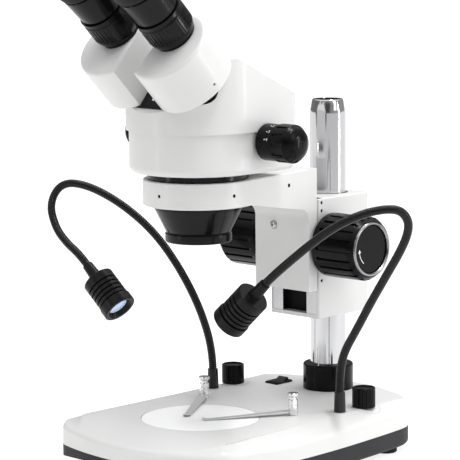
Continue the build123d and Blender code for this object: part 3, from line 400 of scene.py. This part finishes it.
LAMP_FRONT = {"left": (-95.4, 0.0, 125.4), "right": (42.6, -10.0, 131.1)}
LAMP_AXIS = {"left": (0.750, 0.0215, -0.661), "right": (-0.712, -0.096, -0.695)}
LAMP_NECK_END = 52.5        # from the lamp's front face back to the end of its neck, mm
LAMP_NECK_STRAIGHT = 13.0   # straight stretch of the arm before the lamp's neck, mm
LAMP_CHIP_BACK = 12.6       # from the lamp's front face back to its light board, mm
ARM_R = 3.6                 # mm
RING_PITCH = 1.9            # mm
RING_GROOVE = 0.42          # depth of the grooves between rings, mm
RING_SHOULDER = 0.14        # how far a ring's shoulders are below its top, mm


def lamp_axis(side):
    return Vector(LAMP_AXIS[side]).normalized()


def arm_line(side):
    """Dense points along the arm's smooth curve, in metres."""
    front = Vector(LAMP_FRONT[side])
    route = [Vector(point) for point in ARM_ROUTE[side]]
    route += [front - lamp_axis(side) * (LAMP_NECK_END + back) for back in (LAMP_NECK_STRAIGHT, 0)]
    curve = bpy.data.curves.new("route", "CURVE")
    curve.dimensions = "3D"
    spline = curve.splines.new("NURBS")
    spline.points.add(len(route) - 1)
    for control, point in zip(spline.points, route):
        control.co = (*(point * MM), 1)
    spline.use_endpoint_u = True
    spline.order_u = 3
    spline.resolution_u = 24
    holder = bpy.data.objects.new("route", curve)
    mesh = bpy.data.meshes.new_from_object(holder)
    points = [vertex.co.copy() for vertex in mesh.vertices]
    bpy.data.objects.remove(holder)
    return points


def walk(points, distances):
    """Position and direction at given distances along a polyline."""
    found = []
    travelled = 0.0
    index = 0
    for distance in distances:
        while index < len(points) - 2:
            step = (points[index + 1] - points[index]).length
            if travelled + step >= distance:
                break
            travelled += step
            index += 1
        run = points[index + 1] - points[index]
        share = (distance - travelled) / run.length
        found.append((points[index] + run * share, run.normalized()))
    return found


def add_gooseneck(side):
    """Flexible arm: a tube of close rounded rings."""
    line = arm_line(side)
    total = sum((b - a).length for a, b in zip(line, line[1:]))
    count = round(total / (RING_PITCH * MM))
    pitch = total / count
    shoulder = ARM_R - RING_SHOULDER
    shape = ((0.0, ARM_R - RING_GROOVE), (0.16, shoulder), (0.36, ARM_R), (0.64, ARM_R), (0.84, shoulder))
    distances = []
    radii = []
    for ring in range(count):
        for share, radius in shape:
            distances.append((ring + share) * pitch)
            radii.append(radius * MM)
    around = 20
    points = []
    side_way = None
    for (centre, direction), radius in zip(walk(line, distances), radii):
        if side_way is None:
            side_way = direction.orthogonal()
        side_way = (side_way - direction * side_way.dot(direction)).normalized()
        around_arm = spokes(side_way, direction.cross(side_way), around)
        points += [centre + spoke * radius for spoke in around_arm]
    arm = add_mesh("gooseneck_rings_" + side, points, ring_faces(len(distances), around), "arm_black",
                   "arm_" + side, smooth=True)
    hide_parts("gooseneck_" + side)


def add_lamp_chip(side):
    """White board with the light source, seen through the lamp's window."""
    axis = lamp_axis(side)
    back = Vector(LAMP_FRONT[side]) - axis * LAMP_CHIP_BACK
    across = axis.orthogonal().normalized()
    around = 32
    board = spokes(across, axis.cross(across), around)
    points = []
    for distance, radius in ((-1.0, 8.6), (0.0, 8.6), (0.0, 3.2), (0.5, 2.9)):
        points += [(back + axis * distance + spoke * radius) * MM for spoke in board]
    chip = add_mesh("lamp_chip_" + side, points, ring_faces(4, around), "print_white", "arm_" + side)


# ---- printed marks -------------------------------------------------------------------------
RAY_START = 0.2                 # above the base, below the head, metres
DIAL_RING_R = 14.2              # mm
DIAL_RING_WIDTH = 0.45          # mm
PRINT_THICKNESS = 0.03          # mm
PRINT_GAP = 0.01                # between print and paint, mm


def surface_below(node):
    """Function that gives the point on a CAD node's top surface at x, y."""
    data = NODES[node].data
    tree = BVHTree.FromPolygons([vertex.co for vertex in data.vertices],
                                [tuple(polygon.vertices) for polygon in data.polygons])

    def find(x, y):
        return tree.ray_cast(Vector((x, y, RAY_START)), Vector((0, 0, -1)))[0]
    return find


def add_dial_rings():
    """Thin printed circle around each dimmer knob, following the cover's surface."""
    find = surface_below("base_cover")
    steps = 72
    outer = DIAL_RING_R * MM
    inner = outer - DIAL_RING_WIDTH * MM
    top = PRINT_THICKNESS * MM
    section = ((inner, 0.0), (outer, 0.0), (outer, top), (inner, top))
    for side, sign in (("left", -1), ("right", 1)):
        points = []
        for step in range(steps):
            angle = 2 * math.pi * step / steps
            for reach, lift in section:
                x = sign * DIMMER_AXIS[0] * MM + reach * math.cos(angle)
                y = DIMMER_AXIS[1] * MM + reach * math.sin(angle)
                points.append(Vector((x, y, find(x, y).z + PRINT_GAP * MM + lift)))
        faces = []
        for step in range(steps):
            here = step * 4
            there = ((step + 1) % steps) * 4
            for corner in range(4):
                beside = (corner + 1) % 4
                faces.append((here + corner, there + corner, there + beside, here + beside))
        ring = add_mesh("dial_ring_" + side, points, faces, "print_grey", "stand")


ZOOM_SCALE = ("4", "3", "2", "1.5", "1")
ZOOM_SCALE_START = {"left": -75.5, "right": 68.5}   # x of the scale's left edge, mm
ZOOM_SCALE_FIRST = 3.8          # along the collar's round, from level with the shaft upwards, mm
ZOOM_SCALE_STEP = 7.0           # mm
ZOOM_DOT_AT = 1.7               # from the scale's left edge to the dots' centres, mm
ZOOM_DOT_R = 0.55               # mm
ZOOM_TEXT_AT = 3.2              # from the scale's left edge to the numbers, mm
ZOOM_TEXT_SIZE = 3.6            # mm
ZOOM_PRINT = 0.08               # thickness of the numbers, mm


def text_mesh(text, size, thickness):
    """Flat lettering as a mesh, in millimetres, starting at the origin."""
    curve = bpy.data.curves.new("mark", "FONT")
    curve.body = text
    curve.size = size
    curve.extrude = thickness / 2
    curve.align_y = "CENTER"
    holder = bpy.data.objects.new("mark", curve)
    mesh = bpy.data.meshes.new_from_object(holder)
    points = [vertex.co.copy() for vertex in mesh.vertices]
    faces = [tuple(polygon.vertices) for polygon in mesh.polygons]
    bpy.data.objects.remove(holder)
    return points, faces


def add_zoom_scale(side):
    """Dots and numbers around the collar of a zoom knob."""
    start = ZOOM_SCALE_START[side]
    points = []
    faces = []
    y, z = ZOOM_AXIS
    dot_steps = 12

    def wrap(along, around, out):
        angle = around / ZOOM_COLLAR_R
        radius = ZOOM_COLLAR_R + out
        return Vector((along, y - radius * math.cos(angle), z + radius * math.sin(angle))) * MM

    for index, text in enumerate(ZOOM_SCALE):
        middle = ZOOM_SCALE_FIRST + index * ZOOM_SCALE_STEP
        base = len(points)
        letters, outline = text_mesh(text, ZOOM_TEXT_SIZE, ZOOM_PRINT)
        points += [wrap(start + ZOOM_TEXT_AT + p.x, middle + p.y, 0.05 + p.z) for p in letters]
        faces += [tuple(base + corner for corner in face) for face in outline]
        base = len(points)
        for out in (0.0, 0.09):
            for step in range(dot_steps):
                angle = 2 * math.pi * step / dot_steps
                along = start + ZOOM_DOT_AT + ZOOM_DOT_R * math.cos(angle)
                points.append(wrap(along, middle + ZOOM_DOT_R * math.sin(angle), out))
        faces += [tuple(base + corner for corner in face) for face in ring_faces(2, dot_steps)]
    scale = add_mesh("zoom_scale_" + side, points, faces, "print_white", "zoom_drive")


ARROW_R = 14.5                  # radius of the arrow's curve, mm
ARROW_ENDS = (188, 232)         # where its head and tail are, degrees
ARROW_WIDTH = 0.7               # mm
ARROW_HEAD_HALF = 1.7           # half the width of its head, mm
ARROW_HEAD_TURN = 12            # length of its head, degrees
ARROW_THICKNESS = 0.06          # mm


def add_focus_arrow(side, sign):
    """Curved arrow on the cap of a focus knob."""
    y, z = FOCUS_AXIS
    x = sign * FOCUS_CAP_X
    first, last = (math.radians(angle) for angle in ARROW_ENDS)
    out = Vector((sign, 0, 0))
    line = []
    across = []
    steps = 24
    for step in range(steps + 1):
        angle = last + (first - last) * step / steps
        spoke = Vector((0, sign * math.cos(angle), math.sin(angle)))
        line.append((Vector((x, y, z)) + spoke * ARROW_R) * MM)
        across.append(spoke)
    points, faces = ribbon(line, across, ARROW_WIDTH * MM, [out] * len(line), ARROW_THICKNESS * MM)
    tip_angle = first - math.radians(ARROW_HEAD_TURN)
    head = []
    corners = ((tip_angle, ARROW_R), (first, ARROW_R - ARROW_HEAD_HALF), (first, ARROW_R + ARROW_HEAD_HALF))
    for angle, reach in corners:
        spoke = Vector((0, sign * math.cos(angle), math.sin(angle)))
        head.append((Vector((x, y, z)) + spoke * reach) * MM)
    base = len(points)
    points += head + [point + out * (ARROW_THICKNESS * MM) for point in head]
    faces += [(base, base + 1, base + 2), (base + 5, base + 4, base + 3)]
    for corner in range(3):
        beside = (corner + 1) % 3
        faces.append((base + corner, base + beside, base + 3 + beside, base + 3 + corner))
    arrow = add_mesh("focus_arrow_" + side, points, faces, "print_white", "focus_shaft")


# ---- small hardware ------------------------------------------------------------------------
SCREW_LIFT = 0.9                # foot of the screw in front of the drums' back, mm
SCREW_DOWN = 22.5               # from the drums' middle down the plate, mm
SCREW_SLOT = 0.45               # depth of the cross, mm


def add_plate_screw():
    """Small domed cross-head screw low on the plate between the drums."""
    centre = DRUM_FACE - EYE_WAY * (DRUM_L - SCREW_LIFT) - EYE_UP * SCREW_DOWN
    around = 48
    profile = ((0.0, 1.8), (0.4, 1.8), (0.8, 1.5), (1.1, 1.0), (1.2, 0.4))
    points = []
    for lift, radius in profile:
        for step, spoke in enumerate(spokes(Vector((1, 0, 0)), EYE_UP, around)):
            in_cross = radius < 1.5 and min(step % 12, 12 - step % 12) < 2
            slot = SCREW_SLOT if in_cross else 0.0
            points.append((centre + spoke * radius + EYE_WAY * (lift - slot)) * MM)
    screw = add_mesh("plate_screw", points, ring_faces(len(profile), around), "chrome", "head", smooth=True)


# ---- studio --------------------------------------------------------------------------------
# The floor glows less between the camera and the object, so that upright faces and the column
# reflect less of it. The fade is measured along the floor, away from the camera.
FLOOR_HALF = 30.0               # metres
FLOOR_AWAY = (-0.697, 0.717, 0.0)
FLOOR_FADE = (-0.7, -0.15)      # where the fade starts and ends, metres from the origin
FLOOR_GLOW = (0.45, 0.84)       # emission before and after the fade


def add_floor():
    """Large plain pale floor just under the feet."""
    mesh = bpy.data.meshes.new("floor")
    corners = [(x * FLOOR_HALF, y * FLOOR_HALF, 0) for x, y in ((-1, -1), (1, -1), (1, 1), (-1, 1))]
    mesh.from_pydata(corners, [], [(0, 1, 2, 3)])
    floor = bpy.data.objects.new("floor", mesh)
    bpy.context.scene.collection.objects.link(floor)
    floor.location.z = -0.0001
    material, nodes, links, shader = new_material("floor")
    shader.inputs["Base Color"].default_value = (0.35, 0.35, 0.35, 1)
    shader.inputs["Roughness"].default_value = 0.9
    shader.inputs["Specular IOR Level"].default_value = 0.0
    shader.inputs["Emission Color"].default_value = (1, 1, 1, 1)
    place = nodes.new("ShaderNodeTexCoord")
    along = nodes.new("ShaderNodeVectorMath")
    along.operation = "DOT_PRODUCT"
    along.inputs[1].default_value = FLOOR_AWAY
    links.new(place.outputs["Object"], along.inputs[0])
    fade = nodes.new("ShaderNodeMapRange")
    fade.inputs["From Min"].default_value = FLOOR_FADE[0]
    fade.inputs["From Max"].default_value = FLOOR_FADE[1]
    fade.inputs["To Min"].default_value = FLOOR_GLOW[0]
    fade.inputs["To Max"].default_value = FLOOR_GLOW[1]
    links.new(along.outputs["Value"], fade.inputs["Value"])
    links.new(fade.outputs["Result"], shader.inputs["Emission Strength"])
    mesh.materials.append(material)


def add_light(name, place, aim, width, height, power):
    """White rectangular area light aimed at a point."""
    data = bpy.data.lights.new(name, "AREA")
    data.shape = "RECTANGLE"
    data.size = width
    data.size_y = height
    data.energy = power
    light = bpy.data.objects.new(name, data)
    bpy.context.scene.collection.objects.link(light)
    light.location = place
    light.rotation_mode = "QUATERNION"
    light.rotation_quaternion = (Vector(aim) - Vector(place)).to_track_quat("-Z", "Y")


# Studio walls as brightness by compass direction: (share of a turn from -X, brightness).
WALLS = [
    (0.00, 0.24), (0.16, 0.20), (0.22, 0.34), (0.29, 0.36), (0.335, 0.08), (0.39, 0.08), (0.43, 0.34),
    (0.52, 0.40), (0.70, 0.42), (0.80, 0.34), (0.86, 0.15), (0.90, 0.30), (1.00, 0.24),
]


CEILING = (1.30, 1.30, 1.31)
CEILING_RISE = (0.35, 0.75)     # upward part of the direction, where walls change into ceiling


def add_world():
    """Studio surroundings: grey walls that vary with direction, and a bright ceiling."""
    world = bpy.data.worlds.new("studio")
    bpy.context.scene.world = world
    world.use_nodes = True
    nodes = world.node_tree.nodes
    links = world.node_tree.links
    background = nodes["Background"]
    place = nodes.new("ShaderNodeTexCoord")
    split = nodes.new("ShaderNodeSeparateXYZ")
    links.new(place.outputs["Generated"], split.inputs["Vector"])
    turn = nodes.new("ShaderNodeMath")
    turn.operation = "ARCTAN2"
    links.new(split.outputs["Y"], turn.inputs[0])
    links.new(split.outputs["X"], turn.inputs[1])
    share = nodes.new("ShaderNodeMapRange")
    share.inputs["From Min"].default_value = -math.pi
    share.inputs["From Max"].default_value = math.pi
    links.new(turn.outputs["Value"], share.inputs["Value"])
    ramp = nodes.new("ShaderNodeValToRGB")
    stops = ramp.color_ramp.elements
    while len(stops) < len(WALLS):
        stops.new(0.5)
    for stop, (position, level) in zip(stops, WALLS):
        stop.position = position
        stop.color = (level, level, level, 1)
    links.new(share.outputs["Result"], ramp.inputs["Fac"])
    ceiling = nodes.new("ShaderNodeMapRange")
    ceiling.inputs["From Min"].default_value = CEILING_RISE[0]
    ceiling.inputs["From Max"].default_value = CEILING_RISE[1]
    links.new(split.outputs["Z"], ceiling.inputs["Value"])
    mix = nodes.new("ShaderNodeMix")
    mix.data_type = "RGBA"
    links.new(ceiling.outputs["Result"], mix.inputs["Factor"])
    links.new(ramp.outputs["Color"], mix.inputs["A"])
    mix.inputs["B"].default_value = (*CEILING, 1)
    links.new(mix.outputs["Result"], background.inputs["Color"])
    background.inputs["Strength"].default_value = 1.0


def light_studio():
    add_world()
    add_light("key", (2.0, 0.3, 1.2), (0, 0, 0.2), 0.7, 1.0, 4.5)
    add_light("right_strip", (1.1, 0.75, 0.32), (0, 0, 0.12), 0.05, 0.62, 3.4)
    add_light("left_strip", (-0.55, -1.15, 0.30), (0, 0, 0.12), 0.05, 0.58, 1.3)
    add_light("top_strip", (0.25, 0.35, 1.6), (0, 0.05, 0.2), 1.6, 0.10, 15.0)


add_camera()
dress_nodes()
paint_details()
for arm_side in ("left", "right"):
    add_gooseneck(arm_side)
    add_lamp_chip(arm_side)
add_dial_rings()
add_zoom_scale("right")
add_zoom_scale("left")
add_focus_arrow("right", 1)
add_focus_arrow("left", -1)
add_plate_screw()
add_floor()
light_studio()
bpy.context.scene.view_settings.view_transform = "Standard"
bpy.context.scene.view_settings.look = "None"

bpy.context.view_layer.update()
